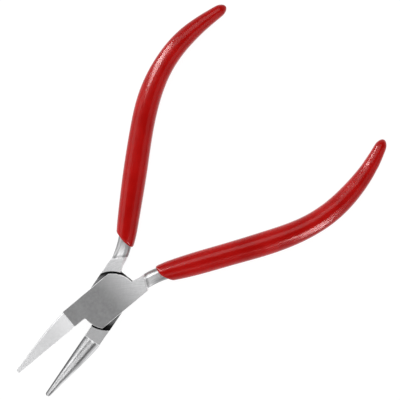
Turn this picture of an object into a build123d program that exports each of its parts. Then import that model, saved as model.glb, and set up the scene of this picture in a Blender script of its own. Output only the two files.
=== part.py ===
from build123d import *
import os
from math import atan2, cos, degrees, radians, sin, sqrt

# Round-and-flat nose jewellery pliers with a box joint and dip-coated handles, in millimetres.
#
# Two forged halves cross at a rivet. The outer half carries the flat jaw and is slotted, so that it
# clasps the thin tongue of the inner half, which carries the round jaw. Both handles end in a tang
# inside a soft sleeve. The frame stands on the pivot axis at the joint's lower face: +X runs to the
# jaw tips along the bisector of the halves, +Y lies on the round jaw's side, and +Z is up. The
# halves are modelled partly open.

# Posture and joint
REST_OPENING = 16.0  # angle between the two gripping lines as modelled, degrees
JOINT_T = 8.4  # joint thickness
MID_Z = JOINT_T / 2
SHOULDER_U = 12.7  # pivot to the shoulder where a jaw begins
EDGE_R = 0.25  # rounding of the ground edges

# Nose arc: round the pivot, on the jaw side. Heel arc: off centre, on the handle side.
NOSE_R = 8.65
HEEL_U, HEEL_V, HEEL_R = -1.1, -0.9, 8.1
CROTCH_R = 0.6  # rounding of the corner between nose arc and jaw
NOSE_GAP, HEEL_GAP = 0.5, 0.3  # room between a shoulder and the other half's arc

# Joint blocks: edge on the jaw's outer side, gripping line, edge on the handle's outer side, end of
# the heel arc, and the step where the joint face ends: its middle and its slant to the width.
OUTER_BLOCK = {"top": 6.0, "grip": 0.15, "bottom": -5.65, "heel": -0.4, "step": (-12.3, -3.3, 25.0)}
INNER_BLOCK = {"top": 5.75, "grip": 0.35, "bottom": -6.25, "heel": -1.5, "step": (-12.3, -4.4, 40.0)}
NECK_W = 4.2  # length of the step

# Box joint
TONGUE_T = 2.9  # the inner half between the cheeks
SLOT_T = 3.0  # the slot in the outer half
SLOT_R = 9.45  # the slot reaches this far from the pivot
RIVET_R = 2.0
RIVET_HEAD_R = 2.8
RIVET_HEAD_T = 0.8
RIVET_PLAY = 0.04  # radial running clearance in the tongue

# Jaws
JAW_TIP_U = 35.1
JAW_EMBED = 1.0  # how far the round jaw reaches back into its shoulder
# Flat jaw: distance from the pivot, width across the jaw and thickness of each section. The first
# lies inside the shoulder; the thickness falls evenly, so that the ground faces are flat.
FLAT_JAW = [(11.7, 5.8, 7.13), (17.7, 5.05, 5.74), (25.4, 3.5, 3.95), (JAW_TIP_U, 1.1, 1.7)]
FLAT_BACK_SHARE = 0.12  # rounding of the jaw's back as a share of its smaller side
# Round jaw: distance along the cone's own axis and radius there; the tip is a dome.
ROUND_JAW = [(0.0, 2.75), (8.9, 2.08), (15.8, 1.35), (20.9, 0.78)]
ROUND_BASE_U = 13.2
ROUND_COVE = 0.9  # cove between the cone and the shoulder

# Handles, measured in each half's plan frame: x from the pivot to the jaw tip, y to the jaw side.
HANDLE_SPLAY = 1.1  # the inner half's handle spreads by this much more than the mean, degrees
HANDLE_SHIFT = 0.3  # and stands this much further out
HANDLE_POINTS = [
    (-11.4, -3.5), (-15.5, -4.3), (-22.0, -7.0), (-30.5, -11.0), (-39.8, -15.3), (-49.0, -19.4),
    (-58.4, -22.8), (-68.5, -24.5), (-78.3, -23.9), (-87.6, -21.2), (-94.4, -18.4),
]
OUTER_POINTS = HANDLE_POINTS[:-2] + [(-87.9, -21.6), (-95.5, -18.5)]  # the outer half's runs on a little
NECK = [(0.0, 4.0, 8.0), (0.022, 4.25, 6.8), (0.05, 4.3, 5.9)]  # length share, width in plan and thickness

# Sleeve: share of the handle's length, width in plan and thickness of each section.
SLEEVE = [
    (0.055, 5.5, 7.0), (0.1, 6.3, 7.4), (0.16, 6.9, 7.7), (0.28, 7.3, 8.0), (0.44, 7.4, 8.0),
    (0.58, 7.1, 7.9), (0.71, 6.5, 7.5), (0.82, 5.8, 6.8), (0.92, 4.5, 5.6), (1.0, 3.3, 4.3),
]
SLEEVE_END_R = 1.2  # rounding of the far end
CORNER_SHARE = 0.36  # corner rounding of a handle section as a share of its width
SLEEVE_WALL = 1.05
TANG_SECTIONS = 9  # how many of the sleeve's sections the steel runs through
MOUTH_U = -17.2  # both sleeves stop at the plane across the closed pliers here


def plan_plane(side, splay=0.0, shift=0.0):
    """Plan plane of one half at mid height; side is -1 for the outer half and 1 for the inner."""
    turn = radians(side * (REST_OPENING / 2 + splay))
    start = (0, -side * shift, MID_Z)
    return Plane(origin=start, x_dir=(cos(turn), sin(turn), 0), z_dir=(0, 0, side))


OUTER, INNER = plan_plane(-1), plan_plane(1)
OUTER_HANDLE = plan_plane(-1, -HANDLE_SPLAY, -HANDLE_SHIFT)
INNER_HANDLE = plan_plane(1, HANDLE_SPLAY, HANDLE_SHIFT)


def step_ends(block):
    """Inner and outer end of the step where the joint face ends and the neck begins."""
    middle_u, middle_v, slant = block["step"]
    along = Vector(-sin(radians(slant)), cos(radians(slant)))
    middle = Vector(middle_u, middle_v)
    outer_reach = (middle_v - block["bottom"]) / cos(radians(slant))
    return middle + along * NECK_W / 2, middle - along * outer_reach


def joint_face(block):
    """Plan of one half's joint block, from the shoulder of its jaw to the step at its neck."""
    top, grip, bottom, heel = block["top"], block["grip"], block["bottom"], block["heel"]
    heel_start_u = HEEL_U - sqrt(HEEL_R**2 - (top - HEEL_V) ** 2)
    heel_end_u = HEEL_U - sqrt(HEEL_R**2 - (heel - HEEL_V) ** 2)
    nose_start_u = sqrt(NOSE_R**2 - bottom**2)
    nose_end_u = sqrt(NOSE_R**2 - grip**2)
    neck_in, neck_out = step_ends(block)
    with BuildSketch() as face:
        with BuildLine():
            Line((SHOULDER_U, top), (heel_start_u, top))
            RadiusArc((heel_start_u, top), (heel_end_u, heel), -HEEL_R)
            Polyline((heel_end_u, heel), neck_in, neck_out, (nose_start_u, bottom))
            RadiusArc((nose_start_u, bottom), (nose_end_u, grip), -NOSE_R)
            Polyline((nose_end_u, grip), (SHOULDER_U, grip), (SHOULDER_U, top))
        make_face()
        crotch = face.vertices().sort_by_distance((nose_end_u, grip))[0]
        fillet(crotch, CROTCH_R)
    return face.sketch


def shoulder_room():
    """Plan of the room that the inner half's shoulders leave for the outer half's cheeks."""
    with BuildSketch() as nose:
        Circle(NOSE_R + NOSE_GAP)
        split(bisect_by=Plane.YZ, keep=Keep.TOP)
    with BuildSketch() as room:
        with Locations((HEEL_U, -HEEL_V)):
            Circle(HEEL_R + HEEL_GAP)
        split(bisect_by=Plane.YZ, keep=Keep.BOTTOM)
        add(nose.sketch)
    return room.sketch


def joint_block(plane, block):
    """One half's joint block at full thickness, with its ground edges rounded."""
    with BuildPart() as solid:
        with BuildSketch(plane):
            add(joint_face(block))
        extrude(amount=JOINT_T / 2, both=True)
        faces = solid.faces().filter_by(Axis.Z)
        fillet(faces.edges(), EDGE_R)
    return solid.part


def across(plane, u, v=0.0):
    """Plane across a half at a distance from the pivot; its x runs to the jaw's outer side."""
    spot = plane.from_local_coords((u, v, 0))
    return Plane(origin=spot, x_dir=plane.y_dir, z_dir=plane.x_dir)


def flat_jaw():
    """Tapered jaw with a flat gripping face and a rounded back."""
    with BuildPart() as jaw:
        for u, width, thickness in FLAT_JAW:
            with BuildSketch(across(OUTER, u, OUTER_BLOCK["grip"])) as section:
                with Locations((width / 2, 0)):
                    Rectangle(width, thickness)
                back = section.vertices().group_by(Axis.X)[-1]
                fillet(back, FLAT_BACK_SHARE * min(width, thickness))
        loft()
    return jaw.part


def round_jaw():
    """Tapered round jaw with a domed tip and a cove where it leaves the joint's full thickness."""
    tip_s, tip_r = ROUND_JAW[-1]
    base_r = ROUND_JAW[0][1]
    lean = degrees(atan2(base_r - tip_r, tip_s))
    grip, top = INNER_BLOCK["grip"], INNER_BLOCK["top"]
    base_v = grip + base_r
    cone_plane = Plane(
        origin=INNER.from_local_coords((ROUND_BASE_U, base_v, 0)),
        x_dir=INNER.x_dir * cos(radians(lean)) - INNER.y_dir * sin(radians(lean)),
        z_dir=(0, 0, 1),
    )
    back_s = SHOULDER_U - ROUND_BASE_U - JAW_EMBED
    flare_r = base_r + ROUND_COVE
    with BuildPart() as jaw:
        with BuildSketch(cone_plane):
            with BuildLine():
                Polyline((tip_s + tip_r, 0), (back_s, 0), (back_s, flare_r), (-ROUND_COVE, flare_r))
                RadiusArc((-ROUND_COVE, flare_r), (0, base_r), -ROUND_COVE)
                Spline(*ROUND_JAW)
                RadiusArc((tip_s, tip_r), (tip_s + tip_r, 0), tip_r)
            make_face()
        revolve(axis=Axis(cone_plane.origin, cone_plane.x_dir))
        with BuildSketch(INNER):
            with Locations((SHOULDER_U + 15, (grip + top) / 2)):
                Rectangle(40, top - grip)
        extrude(amount=JOINT_T / 2, both=True, mode=Mode.INTERSECT)
    return jaw.part


def handle_bar(plane, points, sections):
    """Bar along a handle's centre line through rounded sections of given width and thickness."""
    with BuildLine(plane) as centre:
        Spline(*points)
    line = centre.edges()[0]
    with BuildPart() as bar:
        for share, width, thickness in sections:
            forward = line % share
            across_dir = Vector(0, 0, 1).cross(forward)
            with BuildSketch(Plane(origin=line @ share, x_dir=across_dir, z_dir=forward)):
                RectangleRounded(width, thickness, CORNER_SHARE * width)
        loft()
    return bar.part


def tang(plane, points):
    """Neck and tang of one half."""
    wall = 2 * SLEEVE_WALL
    inside = [(share, width - wall, height - wall) for share, width, height in SLEEVE[:TANG_SECTIONS]]
    return handle_bar(plane, points, NECK + inside[1:])


def sleeve(plane, handle_plane, points, steel):
    """Soft sleeve of one half: open at the mouth, closed at the far end, filled by the tang."""
    mouth = across(plane, MOUTH_U)
    with BuildPart() as grip:
        add(handle_bar(handle_plane, points, SLEEVE))
        end = grip.faces().sort_by(Axis.X)[0]
        fillet(end.edges(), SLEEVE_END_R)
        split(bisect_by=mouth, keep=Keep.BOTTOM)
        add(steel, mode=Mode.SUBTRACT)
    return grip.part


outer_tang, inner_tang = tang(OUTER_HANDLE, OUTER_POINTS), tang(INNER_HANDLE, HANDLE_POINTS)
outer_sleeve = sleeve(OUTER, OUTER_HANDLE, OUTER_POINTS, outer_tang)
inner_sleeve = sleeve(INNER, INNER_HANDLE, HANDLE_POINTS, inner_tang)
outer_block, inner_block = joint_block(OUTER, OUTER_BLOCK), joint_block(INNER, INNER_BLOCK)

# Pivot rivet: a shank peened into a countersink at either end and ground flush
with BuildPart() as pivot_rivet:
    with BuildSketch(Plane.XZ):
        with BuildLine():
            Polyline((0, MID_Z), (RIVET_R, MID_Z), (RIVET_R, JOINT_T - RIVET_HEAD_T))
            Polyline((RIVET_R, JOINT_T - RIVET_HEAD_T), (RIVET_HEAD_R, JOINT_T), (0, JOINT_T), (0, MID_Z))
        make_face()
    revolve(axis=Axis.Z)
    mirror(about=Plane.XY.offset(MID_Z))

# Outer half: flat jaw, cheeks with the slot between them, neck and tang
with BuildPart() as flat_jaw_half:
    add(outer_block)
    add(flat_jaw())
    add(outer_tang)
    with BuildSketch(Plane.XY.offset(MID_Z)):
        Circle(SLOT_R)
    extrude(amount=SLOT_T / 2, both=True, mode=Mode.SUBTRACT)
    add(pivot_rivet.part, mode=Mode.SUBTRACT)

# Inner half: round jaw, tongue between two shoulders, neck and tang
with BuildPart() as round_jaw_half:
    add(inner_block)
    add(round_jaw())
    add(inner_tang)
    with BuildSketch(INNER):
        add(shoulder_room())
    extrude(amount=JOINT_T, both=True, mode=Mode.SUBTRACT)
    with BuildSketch(INNER):
        add(joint_face(INNER_BLOCK))
    extrude(amount=TONGUE_T / 2, both=True)
    Hole(RIVET_R + RIVET_PLAY)

# Soft sleeves
with BuildPart() as flat_half_grip:
    add(outer_sleeve)

with BuildPart() as round_half_grip:
    add(inner_sleeve)

flat_jaw_half.part.label = "flat_jaw_half"
round_jaw_half.part.label = "round_jaw_half"
pivot_rivet.part.label = "pivot_rivet"
flat_half_grip.part.label = "flat_half_grip"
round_half_grip.part.label = "round_half_grip"

os.makedirs("parts", exist_ok=True)
export_step(flat_jaw_half.part, "parts/flat_jaw_half.step")
export_step(round_jaw_half.part, "parts/round_jaw_half.step")
export_step(pivot_rivet.part, "parts/pivot_rivet.step")
export_step(flat_half_grip.part, "parts/flat_half_grip.step")
export_step(round_half_grip.part, "parts/round_half_grip.step")
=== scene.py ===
from collections import namedtuple
from math import cos, pi, radians, sin

import bpy
import numpy as np
from mathutils import Matrix, Vector


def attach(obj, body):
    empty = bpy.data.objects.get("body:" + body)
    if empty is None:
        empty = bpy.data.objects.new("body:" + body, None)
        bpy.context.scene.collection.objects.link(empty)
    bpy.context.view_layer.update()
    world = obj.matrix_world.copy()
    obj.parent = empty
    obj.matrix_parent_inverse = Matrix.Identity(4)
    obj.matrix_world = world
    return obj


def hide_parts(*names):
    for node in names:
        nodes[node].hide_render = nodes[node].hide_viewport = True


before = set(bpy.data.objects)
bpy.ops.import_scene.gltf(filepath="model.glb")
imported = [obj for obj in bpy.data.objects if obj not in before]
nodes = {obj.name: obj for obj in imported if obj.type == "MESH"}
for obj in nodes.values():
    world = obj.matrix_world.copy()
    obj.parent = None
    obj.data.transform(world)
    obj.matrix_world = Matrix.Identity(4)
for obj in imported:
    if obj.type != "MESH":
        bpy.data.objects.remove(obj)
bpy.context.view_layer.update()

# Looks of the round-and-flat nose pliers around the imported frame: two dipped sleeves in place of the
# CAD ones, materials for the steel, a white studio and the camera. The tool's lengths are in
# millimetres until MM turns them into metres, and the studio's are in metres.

MM = 0.001

# Joint and handles, as the CAD has them. Plan points are in a half's own frame: u runs from the pivot
# to the jaw tip along its gripping line, and v to its jaw's outer side.
JOINT_T = 8.4
MID_Z = JOINT_T / 2
REST_OPENING = 16.0  # angle between the gripping lines, degrees
SHOULDER_U = 12.7  # pivot to the shoulder where a jaw begins
HANDLE_SPLAY = 1.1  # the inner half's handle spreads by this much more than the mean, degrees
HANDLE_SHIFT = 0.3  # and stands this much further out
MOUTH_U = -17.2  # pivot to the plane where both sleeves stop
CONE_LEAN = 5.4  # angle between the round jaw's axis and its gripping line, degrees
HANDLE_POINTS = [
    (-11.4, -3.5), (-15.5, -4.3), (-22.0, -7.0), (-30.5, -11.0), (-39.8, -15.3), (-49.0, -19.4),
    (-58.4, -22.8), (-68.5, -24.5), (-78.3, -23.9), (-87.6, -21.2), (-94.4, -18.4),
]
OUTER_POINTS = HANDLE_POINTS[:-2] + [(-87.9, -21.6), (-95.5, -18.5)]  # the outer half's runs on a little
SLEEVE = [  # share of the handle's length, width in plan and thickness of each section
    (0.055, 5.5, 7.0), (0.1, 6.3, 7.4), (0.16, 6.9, 7.7), (0.28, 7.3, 8.0), (0.44, 7.4, 8.0),
    (0.58, 7.1, 7.9), (0.71, 6.5, 7.5), (0.82, 5.8, 6.8), (0.92, 4.5, 5.6), (1.0, 3.3, 4.3),
]

# The two halves. Side is -1 for the outer half, which has the flat jaw, and 1 for the inner, which has
# the round one. Step is where the joint face ends, by its middle and its slant in degrees. Face and
# neck are grey levels of the steel: the joint face's darker and lighter patches, and the neck.
Half = namedtuple("Half", "side points step face neck")
OUTER = Half(-1, OUTER_POINTS, (-12.3, -3.3, 25.0), (0.30, 0.35), 0.92)
INNER = Half(1, HANDLE_POINTS, (-12.3, -4.4, 40.0), (0.62, 0.70), 0.70)


# ---------------------------------------------------------------- handles

LINE_STEPS = 3000  # points along a handle's centre line


def cubic(xs, ys, at):
    """Natural cubic spline through (xs, ys), read at each value of at."""
    xs, ys = np.asarray(xs, float), np.asarray(ys, float)
    n = len(xs)
    step = np.diff(xs)
    matrix, right = np.zeros((n, n)), np.zeros(n)
    matrix[0, 0] = matrix[-1, -1] = 1
    for i in range(1, n - 1):
        matrix[i, i - 1 : i + 2] = step[i - 1], 2 * (step[i - 1] + step[i]), step[i]
        right[i] = 3 * ((ys[i + 1] - ys[i]) / step[i] - (ys[i] - ys[i - 1]) / step[i - 1])
    c = np.linalg.solve(matrix, right)
    i = np.clip(np.searchsorted(xs, at) - 1, 0, n - 2)
    t = at - xs[i]
    b = (ys[i + 1] - ys[i]) / step[i] - step[i] * (2 * c[i] + c[i + 1]) / 3
    return ys[i] + b * t + c[i] * t**2 + (c[i + 1] - c[i]) / (3 * step[i]) * t**3


class Handle:
    """Centre line of one half's handle."""

    def __init__(self, half):
        self.side = half.side
        self.turn = radians(half.side * REST_OPENING / 2 + HANDLE_SPLAY)
        points = np.array(half.points)
        chord = np.concatenate([[0], np.cumsum(np.hypot(*np.diff(points, axis=0).T))])
        at = np.linspace(0, chord[-1], LINE_STEPS)
        self.line = np.stack([cubic(chord, points[:, 0], at), cubic(chord, points[:, 1], at)], 1)
        run = np.concatenate([[0], np.cumsum(np.hypot(*np.diff(self.line, axis=0).T))])
        self.length = run[-1]
        self.share = run / run[-1]

    def at(self, share, across):
        """Plan points in the row frame at shares of the length and distances to the jaw side."""
        u = np.interp(share, self.share, self.line[:, 0])
        v = np.interp(share, self.share, self.line[:, 1])
        way_u = np.interp(share, self.share, np.gradient(self.line[:, 0]))
        way_v = np.interp(share, self.share, np.gradient(self.line[:, 1]))
        size = np.hypot(way_u, way_v)
        u, v = u + across * way_v / size, v - across * way_u / size
        x = u * cos(self.turn) - self.side * v * sin(self.turn)
        y = u * sin(self.turn) + self.side * v * cos(self.turn) - HANDLE_SHIFT
        return x, y

    def reach(self, x, y):
        """Distance from the pivot along the half's own gripping line."""
        turn = radians(self.side * REST_OPENING / 2)
        return x * cos(turn) + y * sin(turn)


# ---------------------------------------------------------------- sleeves

AROUND = 72  # points round a section
SQUARENESS = 2.3  # how square a section is: 2 is an ellipse
SKIN = 0.03  # how far a sleeve stays inside the CAD sleeve
UNDULATION = 0.012  # how much a sleeve swells and shrinks, as a share of its size
UNDULATION_RATE = 23  # radians of that over the handle's length
UNDULATION_END = 0.9  # share of the length where it stops
DOME = 0.03  # share of the length taken by the rounded end
MOUTH_GAP = 0.05  # the rim's foremost point to the CAD sleeve's mouth
MOUTH_RIPPLE = 0.08  # unevenness of the rim
INNER_DROOP = 0.15  # how far the rim hangs back at its inner side, towards the other handle
MOUTH_SHARES = np.linspace(0.02, 0.14, 400)  # the rim lies somewhere between these shares
RIM = [  # distance from the mouth and depth under the surface of each ring, from the inside out
    (2.6, 1.6), (2.0, 1.05), (0.5, 0.98), (0.16, 0.86), (0.03, 0.66), (0.0, 0.45),
    (0.05, 0.26), (0.17, 0.12), (0.4, 0.03), (0.8, 0.0),
]
BODY_START = 1.5  # distance from the mouth to the first ring behind the rim
BODY_RINGS = 130
DOME_RINGS = np.linspace(0.1, pi / 2 - 0.06, 14)  # angles from the dome's foot to its top


def tube_mesh(name, rings):
    """Closed tube through rings of points (ring, point, xyz), in metres."""
    count, around = rings.shape[:2]
    last = (count - 1) * around
    verts = [tuple(p) for p in rings.reshape(-1, 3)] + [tuple(rings[0].mean(0)), tuple(rings[-1].mean(0))]
    start_cap, end_cap = len(verts) - 2, len(verts) - 1
    turns = [(j, (j + 1) % around) for j in range(around)]
    faces = []
    for i in range(0, last, around):
        faces += [(i + j, i + k, i + around + k, i + around + j) for j, k in turns]
    faces += [(k, j, start_cap) for j, k in turns]
    faces += [(last + j, last + k, end_cap) for j, k in turns]
    mesh = bpy.data.meshes.new(name)
    mesh.from_pydata(verts, [], faces)
    mesh.shade_smooth()
    obj = bpy.data.objects.new(name, mesh)
    bpy.context.scene.collection.objects.link(obj)
    return obj


def sleeve(name, half, outer_droop, phase):
    """Dip-coated sleeve: rolled mouth, soft undulation along its length and a domed end.

    The mouth bulges towards the joint, and hangs back by outer_droop at its outer side. The phase
    shifts the undulation and the mouth's ripple.
    """
    handle = Handle(half)
    angle = np.linspace(0, 2 * pi, AROUND, endpoint=False)
    power = 2 / SQUARENESS
    inward = np.sign(np.cos(angle)) * np.abs(np.cos(angle)) ** power
    upward = np.sign(np.sin(angle)) * np.abs(np.sin(angle)) ** power
    shares, widths, heights = np.array(SLEEVE).T

    def half_size(share, inset):
        """Half the width and thickness at shares of the length, some way under the surface."""
        w = cubic(shares, widths, np.maximum(share, shares[0])) / 2 - SKIN - inset
        h = cubic(shares, heights, np.maximum(share, shares[0])) / 2 - SKIN - inset
        t = np.clip((share - (1 - DOME)) / DOME, 0, 1)
        taper = np.sqrt(np.maximum(1 - t**2, 0.0))
        swell = (1 + np.sin(share * UNDULATION_RATE + phase)) * (share < UNDULATION_END)
        scale = taper * (1 - UNDULATION * swell)
        return w * scale, h * scale

    lip = MOUTH_U - MOUTH_GAP - MOUTH_RIPPLE * (1 + np.sin(2 * angle + phase))
    lip -= INNER_DROOP * np.maximum(0.0, inward) ** 4 + outer_droop * np.maximum(0.0, -inward) ** 1.7
    mouth = np.empty(AROUND)
    for j in range(AROUND):
        w, _ = half_size(MOUTH_SHARES, 0)
        x, y = handle.at(MOUTH_SHARES, w * inward[j])
        mouth[j] = np.interp(-lip[j], -handle.reach(x, y), MOUTH_SHARES)

    def ring(along, inset=0.0):
        """Ring at a share of the way from the mouth to the end, as slanting as the mouth at first."""
        share = mouth + along * (1 - mouth)
        w, h = half_size(share, inset)
        x, y = handle.at(share, w * inward)
        return np.stack([x, y, MID_Z + h * upward], -1) * MM

    rings = [ring(distance / handle.length, inset) for distance, inset in RIM]
    rings += [ring(along) for along in np.linspace(BODY_START / handle.length, 1 - DOME, BODY_RINGS)]
    rings += [ring(1 - DOME + DOME * sin(t)) for t in DOME_RINGS]
    return tube_mesh(name, np.array(rings))


# ---------------------------------------------------------------- material helpers

class Nodes:
    """Short names for building one material's node tree."""

    def __init__(self, name):
        self.material = bpy.data.materials.new(name)
        self.material.use_nodes = True
        self.tree = self.material.node_tree
        self.shader = self.tree.nodes["Principled BSDF"]

    def plug(self, socket, value):
        if isinstance(value, bpy.types.NodeSocket):
            self.tree.links.new(value, socket)
        elif value is not None:
            socket.default_value = value

    def shade(self, **values):
        """Set the shader's sockets, named with _ for each space."""
        for key, value in values.items():
            self.plug(self.shader.inputs[key.replace("_", " ")], value)

    def node(self, kind, inputs, **settings):
        made = self.tree.nodes.new(kind)
        for key, value in settings.items():
            setattr(made, key, value)
        for key, value in inputs.items():
            self.plug(made.inputs[key], value)
        return made

    def math(self, operation, a, b=None):
        inputs = {0: a} if b is None else {0: a, 1: b}
        return self.node("ShaderNodeMath", inputs, operation=operation).outputs[0]

    def step(self, value, low, high, out=(0.0, 1.0)):
        """Smooth step between two values, which may fall."""
        inputs = {"Value": value, "From Min": low, "From Max": high, "To Min": out[0], "To Max": out[1]}
        return self.node("ShaderNodeMapRange", inputs, interpolation_type="SMOOTHSTEP").outputs[0]

    def mix(self, share, a, b):
        """Colour a at share 0 and b at share 1."""
        return self.node("ShaderNodeMix", {0: share, 6: a, 7: b}, data_type="RGBA").outputs[2]

    def blend(self, share, a, b):
        """Number a at share 0 and b at share 1."""
        return self.node("ShaderNodeMix", {0: share, 2: a, 3: b}, data_type="FLOAT").outputs[0]

    def noise(self, vector, scale, detail, roughness=0.5):
        inputs = {"Vector": vector, "Scale": scale, "Detail": detail, "Roughness": roughness}
        return self.node("ShaderNodeTexNoise", inputs).outputs["Fac"]

    def bump(self, height, distance, strength, normal=None):
        inputs = {"Height": height, "Distance": distance, "Strength": strength, "Normal": normal}
        return self.node("ShaderNodeBump", inputs).outputs["Normal"]

    def turned(self, degrees_about_z, stretch=(1, 1, 1)):
        """Row-frame position turned about the pivot, in millimetres, and stretched."""
        place = self.node("ShaderNodeTexCoord", {}).outputs["Object"]
        inputs = {"Vector": place, "Rotation": (0, 0, radians(degrees_about_z)), "Scale": (1 / MM,) * 3}
        turned = self.node("ShaderNodeMapping", inputs).outputs[0]
        return self.node("ShaderNodeVectorMath", {0: turned, 1: stretch}, operation="MULTIPLY").outputs[0]


BLUE_CAST = 1.01  # steel is this much stronger in blue


def grey(level):
    return (level, level, level * BLUE_CAST, 1)


def dress(obj, material):
    obj.data.materials.clear()
    obj.data.materials.append(material)


# ---------------------------------------------------------------- steel

# Borders between finishes and painted light and shade, in mm: each pair is where one begins and where it is
# in full
JAW_BORDER = (SHOULDER_U - 0.1, SHOULDER_U + 0.15)  # along the gripping line
NECK_BORDER = (0.0, 0.35)  # past the step
INSIDE_RADIUS, INSIDE_DEPTH = (9.6, 9.0), (2.6, 2.2)  # tongue: from the pivot, from mid thickness
RIM_RADIUS, RIM_DEPTH = (9.75, 9.2), (4.05, 3.7)  # the walls of the shoulders, in the same way
GAP_SHADE_RADIUS = (6.9, 8.1)  # painted shade: the tongue darkens towards the shoulders
FACE_PAINTED_LIGHT = (1.0, -12.5)  # painted light: the joint face brightens towards the neck
FLAT_JAW_PAINTED_LIGHT = (22.0, 12.5)  # painted light: the flat jaw brightens towards its shoulder
GRIP_SHADE = (1.15, 0.55)  # painted shade: the round jaw darkens towards the gripping line
EDGE_INNER, EDGE_OUTER = (3.90, 3.98), (4.195, 4.15)  # painted highlight on the rounded edges, from mid thickness
CREASE_START, CREASE_END = (0.1, 0.3), (1.3, 0.5)  # painted shade past the step, from either side
FLANK_DEPTH = (3.1, 2.3)  # painted shade on the neck's sides, from mid thickness

# Grey levels, which are single, or a darker and a lighter one
# the edges' painted highlight, the joint face's painted light, then smudges and grinding marks
EDGE_HIGHLIGHT_LEVEL, FACE_PAINTED_LIGHT_LEVEL, SMUDGE_LEVEL, SCRATCH_LEVEL = 1.0, 1.0, 0.66, 0.42
# the flat jaw's tones, and the level of its painted light
FLAT_JAW_LEVELS, FLAT_JAW_PAINTED_LIGHT_LEVEL = (0.67, 0.73), 0.86
# the round jaw's tones, and the level of its painted shade
ROUND_JAW_LEVELS, GRIP_SHADE_LEVEL = (0.46, 0.74), 0.16
# painted shade past the step
CREASE_SHADE_LEVEL, CREASE_SHARE = 0.25, 0.6
# painted shade on the neck's sides
FLANK_SHADE_LEVEL, FLANK_SHARE = 0.26, 0.85
# the box joint's dark oxide with painted shade, and its deepest painted shade at the shoulders
OXIDE_AND_SHADE_LEVELS, GAP_SHADE_LEVEL = (0.24, 0.40), 0.04

# Roughness
FACE_ROUGHNESS = (0.46, 0.54)
FLAT_JAW_ROUGHNESS, ROUND_JAW_ROUGHNESS, NECK_ROUGHNESS, INSIDE_ROUGHNESS = 0.42, 0.35, 0.42, 0.55
GRINDING_DEPTH = 0.012  # height of the grinding marks


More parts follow.
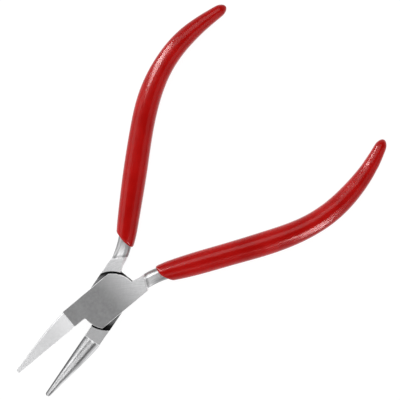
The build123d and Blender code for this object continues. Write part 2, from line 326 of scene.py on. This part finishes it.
def steel(name, half):
    """Ground steel, with painted light and shade: satin joint face, finer jaw, polished neck, box joint
    dark with oxide.
    """
    n = Nodes(name)
    turn = -half.side * REST_OPENING / 2
    plan = n.turned(turn)
    spot = n.node("ShaderNodeSeparateXYZ", {0: plan}).outputs
    u, v = spot[0], n.math("MULTIPLY", spot[1], float(half.side))
    radius = n.math("SQRT", n.math("ADD", n.math("MULTIPLY", u, u), n.math("MULTIPLY", v, v)))
    depth = n.math("ABSOLUTE", n.math("SUBTRACT", spot[2], MID_Z))
    step_u, step_v, slant = half.step
    past_step = n.math(
        "ADD",
        n.math("MULTIPLY", n.math("SUBTRACT", u, step_u), -cos(radians(slant))),
        n.math("MULTIPLY", n.math("SUBTRACT", v, step_v), -sin(radians(slant))),
    )

    def between(first, first_border, second, second_border):
        return n.math("MULTIPLY", n.step(first, *first_border), n.step(second, *second_border))

    neck = n.step(past_step, *NECK_BORDER)
    jaw = n.step(u, *JAW_BORDER)
    inside = between(radius, INSIDE_RADIUS, depth, INSIDE_DEPTH)
    # where the rounded edges get their painted highlight
    edge_highlight = between(depth, EDGE_INNER, depth, EDGE_OUTER)
    # where the painted shade past the step lies
    crease_shade = between(past_step, CREASE_START, past_step, CREASE_END)
    # where the neck's sides get painted shade
    flank_shade = n.math("MULTIPLY", neck, n.step(depth, *FLANK_DEPTH))

    # Patches, smudges and two crossing sets of grinding marks
    patch = n.noise(plan, 0.22, 3.0, 0.55)
    smudge = n.noise(plan, 1.1, 4.0, 0.65)
    along = n.noise(n.turned(turn + 35, (0.35, 9, 9)), 1.0, 3.0, 0.6)
    cross = n.noise(n.turned(turn - 40, (0.5, 14, 14)), 1.0, 2.0)
    marks = n.math("ADD", along, n.math("MULTIPLY", cross, 0.5))

    face = n.mix(n.step(patch, 0.3, 0.7), grey(half.face[0]), grey(half.face[1]))
    # painted light: the joint face lightens towards the neck
    face = n.mix(n.step(u, *FACE_PAINTED_LIGHT), face, grey(FACE_PAINTED_LIGHT_LEVEL))
    face = n.mix(n.step(smudge, 0.25, 0.8, (0.0, 0.25)), face, grey(SMUDGE_LEVEL))
    face = n.mix(n.step(marks, 0.55, 0.95, (0.0, 0.3)), face, grey(SCRATCH_LEVEL))
    if half is OUTER:
        dark, light = FLAT_JAW_LEVELS
        bright = n.mix(n.step(smudge, 0.3, 0.7), grey(dark), grey(light))
        # painted light: the flat jaw brightens towards its shoulder
        bright = n.mix(n.step(u, *FLAT_JAW_PAINTED_LIGHT), bright, grey(FLAT_JAW_PAINTED_LIGHT_LEVEL))
    else:
        dark, light = ROUND_JAW_LEVELS
        streak = n.noise(n.turned(CONE_LEAN - REST_OPENING / 2, (0.05, 1.5, 1.5)), 1.0, 2.0)
        bright = n.mix(n.step(streak, 0.36, 0.62), grey(dark), grey(light))
        # painted shade: the round jaw darkens towards its gripping line
        bright = n.mix(n.step(v, *GRIP_SHADE), bright, grey(GRIP_SHADE_LEVEL))
    colour = n.mix(jaw, face, bright)
    # painted highlight along the rounded edges
    colour = n.mix(edge_highlight, colour, grey(EDGE_HIGHLIGHT_LEVEL))
    colour = n.mix(neck, colour, grey(half.neck))
    # painted shade past the step
    colour = n.mix(n.math("MULTIPLY", crease_shade, CREASE_SHARE), colour, grey(CREASE_SHADE_LEVEL))
    # painted shade on the neck's sides
    colour = n.mix(n.math("MULTIPLY", flank_shade, FLANK_SHARE), colour, grey(FLANK_SHADE_LEVEL))
    # the box joint's inside: dark oxide with painted shade, darkening in painted shade towards the
    # shoulders
    oxide_and_shade = n.mix(n.step(smudge, 0.3, 0.75), grey(OXIDE_AND_SHADE_LEVELS[0]), grey(OXIDE_AND_SHADE_LEVELS[1]))
    oxide_and_shade = n.mix(n.step(radius, *GAP_SHADE_RADIUS), oxide_and_shade, grey(GAP_SHADE_LEVEL))
    colour = n.mix(inside, colour, oxide_and_shade)
    if half is INNER:
        colour = n.mix(between(radius, RIM_RADIUS, depth, RIM_DEPTH), colour, oxide_and_shade)

    rough = n.step(marks, 0.4, 1.0, FACE_ROUGHNESS)
    rough = n.blend(jaw, rough, FLAT_JAW_ROUGHNESS if half is OUTER else ROUND_JAW_ROUGHNESS)
    rough = n.blend(neck, rough, NECK_ROUGHNESS)
    rough = n.blend(inside, rough, INSIDE_ROUGHNESS)
    ground = n.math("SUBTRACT", 1.0, n.math("MAXIMUM", jaw, neck))
    normal = n.bump(n.math("MULTIPLY", marks, ground), GRINDING_DEPTH * MM, 0.6)
    n.shade(Base_Color=colour, Metallic=1.0, Roughness=rough, Normal=normal)
    return n.material


# ---------------------------------------------------------------- vinyl

DEEP_RED = (0.44, 0.0022, 0.0014, 1)
CLEAR_RED = (0.54, 0.0035, 0.0022, 1)
SPECK_RED = (0.37, 0.0018, 0.0012, 1)
WAVE_HEIGHT, PORE_HEIGHT = 0.3, 0.004  # the dipped skin's slow waves and its fine texture


def vinyl(name):
    """Glossy dipped vinyl: red in uneven depth, with fine specks, faintly wavy."""
    n = Nodes(name)
    here = n.turned(0)
    tint = n.noise(here, 0.12, 3.0, 0.55)
    speck = n.noise(here, 2.4, 3.0, 0.6)
    wave = n.noise(here, 0.2, 1.0, 0.4)
    pores = n.noise(here, 1.3, 2.0)
    colour = n.mix(n.step(tint, 0.3, 0.7), DEEP_RED, CLEAR_RED)
    colour = n.mix(n.step(speck, 0.55, 0.8, (0.0, 0.35)), colour, SPECK_RED)
    wavy = n.bump(wave, WAVE_HEIGHT * MM, 0.4)
    n.shade(
        Base_Color=colour, Roughness=n.step(tint, 0.3, 0.7, (0.20, 0.26)), IOR=1.5, Specular_IOR_Level=0.15,
        Coat_Weight=0.06, Coat_Roughness=0.1, Normal=n.bump(pores, PORE_HEIGHT * MM, 0.3, wavy),
    )
    return n.material


# ---------------------------------------------------------------- the pliers

dress(nodes["flat_jaw_half"], steel("flat_half_steel", OUTER))
dress(nodes["round_jaw_half"], steel("round_half_steel", INNER))
dress(nodes["pivot_rivet"], steel("rivet_steel", OUTER))
red = vinyl("grip_vinyl")
sleeves = []
for piece_name, node, body, half, outer_droop, phase in (
    ("flat_half_sleeve", "flat_half_grip", "flat_half", OUTER, 1.4, 0.6),
    ("round_half_sleeve", "round_half_grip", "round_half", INNER, 1.0, 3.9),
):
    piece = sleeve(piece_name, half, outer_droop, phase)
    dress(piece, red)
    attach(piece, body)
    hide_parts(node)
    sleeves.append(piece)

# ---------------------------------------------------------------- studio, in metres

FLOOR_SIZE = 6.0
FLOOR_DROP = 0.00005  # the floor lies this far under the joint, so that the two don't flicker
FLOOR_GLOW = 0.95  # the photo's ground is pure white, which this and the softboxes add up to
SKY = [(0.0, 0.85), (0.2, 0.5), (0.5, 0.14), (0.8, 0.06), (1.0, 0.05)]  # height of the view and brightness
HORIZON_BLUE = 0.87
MIDDLE = (-0.04, 0, 0)  # what most softboxes face
WINDOW_RADIANCE = 33.0
ABOVE = 0.450  # camera over the joint face
SHOWN = 0.1208  # width of what the camera sees at the height of the joint face
VIEW_CENTRE = (-0.0413, 0.0004)
VIEW_RIGHT = (-0.672, 0.741, 0)  # turned so that the tips point down and to the left


def make_floor():
    """Plain white floor that glows evenly."""
    n = Nodes("studio_floor")
    cloud = n.noise(n.node("ShaderNodeTexCoord", {}).outputs["Object"], 3.0, 2.0)
    colour = n.mix(cloud, (0.11, 0.11, 0.11, 1), (0.14, 0.14, 0.14, 1))
    n.shade(
        Base_Color=colour, Emission_Color=(1, 1, 1, 1), Emission_Strength=FLOOR_GLOW, Roughness=0.9,
        Specular_IOR_Level=0.1,
    )
    reach = FLOOR_SIZE / 2
    mesh = bpy.data.meshes.new("studio_floor")
    corners = [(-reach, -reach, 0), (reach, -reach, 0), (reach, reach, 0), (-reach, reach, 0)]
    mesh.from_pydata(corners, [], [(0, 1, 2, 3)])
    floor = bpy.data.objects.new("studio_floor", mesh)
    floor.location.z = -FLOOR_DROP
    bpy.context.scene.collection.objects.link(floor)
    dress(floor, n.material)


def make_sky():
    """Surroundings that are light near the horizon and dark overhead, for the steel to reflect."""
    world = bpy.data.worlds.new("studio")
    world.use_nodes = True
    bpy.context.scene.world = world
    tree = world.node_tree
    direction = tree.nodes.new("ShaderNodeTexCoord")
    parts = tree.nodes.new("ShaderNodeSeparateXYZ")
    ramp = tree.nodes.new("ShaderNodeValToRGB")
    tree.links.new(direction.outputs["Generated"], parts.inputs[0])
    tree.links.new(parts.outputs[2], ramp.inputs[0])
    tree.links.new(ramp.outputs[0], tree.nodes["Background"].inputs[0])
    ramp.color_ramp.interpolation = "EASE"
    stops = ramp.color_ramp.elements
    for height, _ in SKY[1:-1]:
        stops.new(height)
    for stop, (height, value) in zip(stops, SKY):
        stop.position, stop.color = height, (value, value, value, 1)
    stops[0].color[2] = HORIZON_BLUE


def softbox(name, place, target, size, radiance, only=None):
    """Rectangular light; with only, it merely gleams, and just on the objects of that collection."""
    light = bpy.data.lights.new(name, "AREA")
    light.shape = "RECTANGLE"
    light.size, light.size_y = size
    light.energy = radiance * pi * size[0] * size[1]
    obj = bpy.data.objects.new(name, light)
    obj.location = place
    obj.rotation_euler = (Vector(target) - Vector(place)).to_track_quat("-Z", "Y").to_euler()
    obj.visible_camera = False
    if only is not None:
        obj.light_linking.receiver_collection = only
        obj.visible_diffuse = False
    bpy.context.scene.collection.objects.link(obj)


def make_camera():
    """Camera straight above the tool."""
    camera = bpy.data.cameras.new("camera")
    camera.sensor_width = 36
    camera.lens = camera.sensor_width * ABOVE / SHOWN
    camera.clip_start, camera.clip_end = 0.01, 20
    obj = bpy.data.objects.new("camera", camera)
    bpy.context.scene.collection.objects.link(obj)
    right = Vector(VIEW_RIGHT).normalized()
    toward = Vector((0, 0, 1))
    turn = Matrix((right, toward.cross(right), toward)).transposed().to_4x4()
    obj.matrix_world = Matrix.Translation((*VIEW_CENTRE, JOINT_T * MM + ABOVE)) @ turn
    bpy.context.scene.camera = obj
    bpy.context.scene.view_settings.view_transform = "Standard"


make_floor()
make_sky()

# Each softbox: where it stands, what it faces, its size and its radiance
softbox("left_softbox", (0.33, -0.46, 0.34), MIDDLE, (0.50, 0.45), 1.9)
softbox("right_softbox", (-0.22, 0.42, 0.38), MIDDLE, (0.40, 0.40), 0.8)
softbox("back_softbox", (-0.26, -0.20, 0.50), MIDDLE, (0.38, 0.34), 2.7)
softbox("jaw_softbox", (0.38, 0.10, 0.52), (0.02, 0, 0), (0.52, 0.52), 1.5)

# The window panes that gleam on the sleeves' bends; they would burn out the steel's edges
gleaming = bpy.data.collections.new("gleaming")
for piece in sleeves:
    gleaming.objects.link(piece)
softbox("window_b", (-0.045, -0.43, 0.27), (-0.06, -0.038, 0), (0.085, 0.54), WINDOW_RADIANCE, gleaming)
softbox("window_a", (0.02, 0.425, 0.27), (-0.06, 0.034, 0), (0.07, 0.54), WINDOW_RADIANCE, gleaming)

make_camera()
